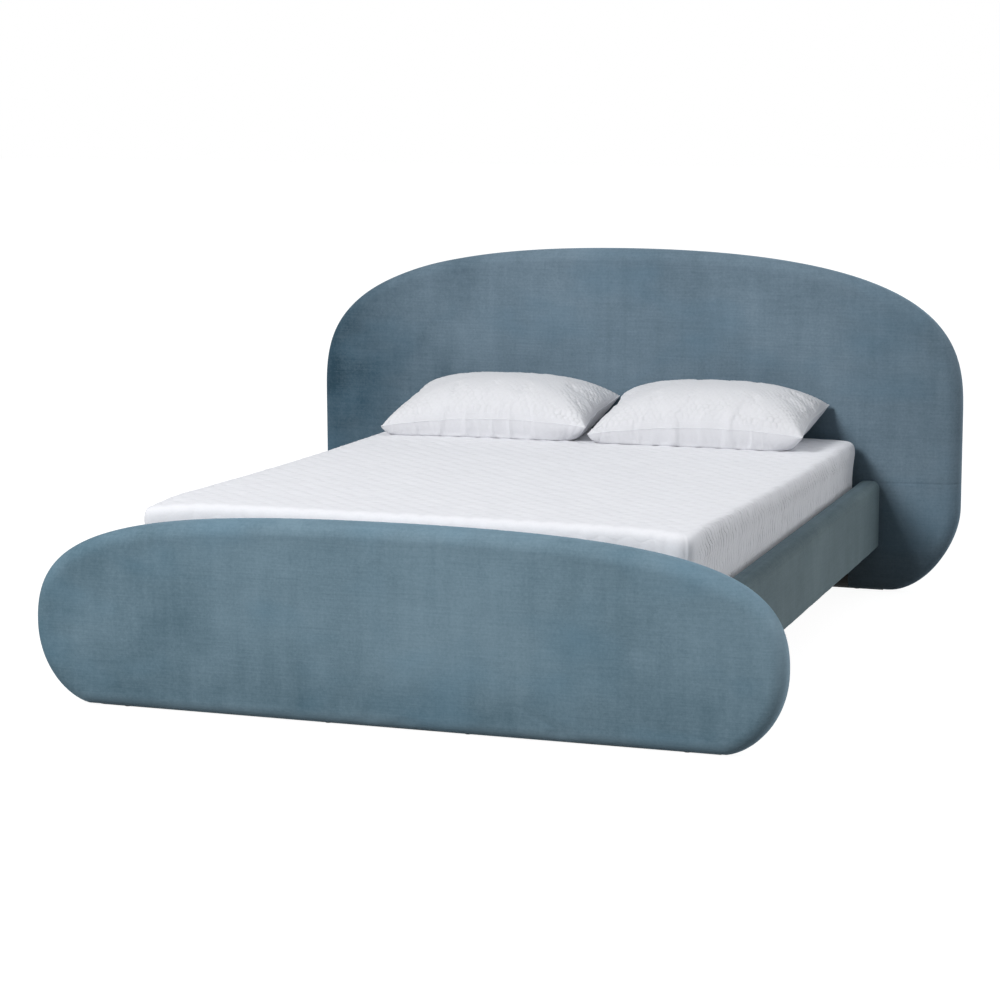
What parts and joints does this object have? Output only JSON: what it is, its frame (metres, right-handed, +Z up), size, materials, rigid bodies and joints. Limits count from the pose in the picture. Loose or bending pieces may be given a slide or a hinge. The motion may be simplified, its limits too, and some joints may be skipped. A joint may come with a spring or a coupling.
{
  "type": "upholstered bed",
  "caption": "Queen bed with velvet headboard and footboard of pebble outline, upholstered side rails, slatted base, quilted mattress and pillows.",
  "frame": {"origin": "on the floor under the middle of the bed", "axes": "+X across the bed to the right, +Y from the footboard to the headboard, +Z up"},
  "size_m": [2.182, 2.282, 1.09],
  "materials": {
    "velvet": "brushed velvet with a soft sheen",
    "foam": "open-cell foam, matte",
    "plywood": "raw plywood",
    "timber": "planed softwood",
    "felt": "needled felt",
    "bracket_steel": "dark powder coat",
    "zinc_steel": "zinc plated",
    "black_plastic": "matte",
    "black_wood": "black paint, matte",
    "black_lining": "non-woven dust cloth",
    "tape": "woven tape",
    "quilted_cover": "quilted cotton, matte",
    "pillow_shell": "textured cotton, matte"
  },
  "bodies": {
    "bed_frame": {"headboard_cover": "velvet", "headboard_back_cover": "velvet", "headboard_foam": "foam", "headboard_panel": "plywood", "headboard_posts": "timber", "headboard_battens": "timber", "headboard_felt": "felt", "headboard_sole": "timber", "headboard_glides": "black_plastic", "footboard_cover": "velvet", "footboard_inner_cover": "velvet", "footboard_foam": "foam", "footboard_panel": "plywood", "footboard_posts": "timber", "footboard_battens": "timber", "footboard_felt": "felt", "footboard_sole": "timber", "footboard_glides": "black_plastic", "left_rail_cover": "velvet", "left_rail_foam": "foam", "left_rail_board": "timber", "left_ledger": "timber", "right_rail_cover": "velvet", "right_rail_foam": "foam", "right_rail_board": "timber", "right_ledger": "timber", "ledger_screws": "zinc_steel", "headboard_lining": "black_lining", "corner_brackets": "bracket_steel", "frame_bolts": "zinc_steel", "bolt_inserts": "zinc_steel", "bracket_screws": "zinc_steel", "slats": "timber", "slat_screws": "zinc_steel", "webbing": "tape", "centre_rail": "timber", "centre_cradles": "bracket_steel", "cradle_screws": "zinc_steel", "centre_legs": "black_wood", "leg_dowels": "timber", "leg_inserts": "zinc_steel"},
    "mattress": {"mattress_cover": "quilted_cover", "mattress_core": "foam"},
    "pillow_left": {"pillow_left": "pillow_shell"},
    "pillow_right": {"pillow_right": "pillow_shell"},
    "levelling_foot_1": {"levelling_foot_1": "black_plastic"},
    "levelling_foot_2": {"levelling_foot_2": "black_plastic"},
    "levelling_foot_3": {"levelling_foot_3": "black_plastic"}
  },
  "joints": [
    {"name": "mattress_lift", "type": "slide", "parent": "bed_frame", "child": "mattress", "axis": [0, 0, 1], "range_m": [0, 0.32]},
    {"name": "pillow_left_lift", "type": "slide", "parent": "mattress", "child": "pillow_left", "axis": [0, 0, 1], "range_m": [0, 0.3]},
    {"name": "pillow_right_lift", "type": "slide", "parent": "mattress", "child": "pillow_right", "axis": [0, 0, 1], "range_m": [0, 0.3]},
    {"name": "levelling_foot_1_screw", "type": "slide", "parent": "bed_frame", "child": "levelling_foot_1", "axis": [0, 0, 1], "range_m": [-0.012, 0]},
    {"name": "levelling_foot_2_screw", "type": "slide", "parent": "bed_frame", "child": "levelling_foot_2", "axis": [0, 0, 1], "range_m": [-0.012, 0]},
    {"name": "levelling_foot_3_screw", "type": "slide", "parent": "bed_frame", "child": "levelling_foot_3", "axis": [0, 0, 1], "range_m": [-0.012, 0]}
  ]
}
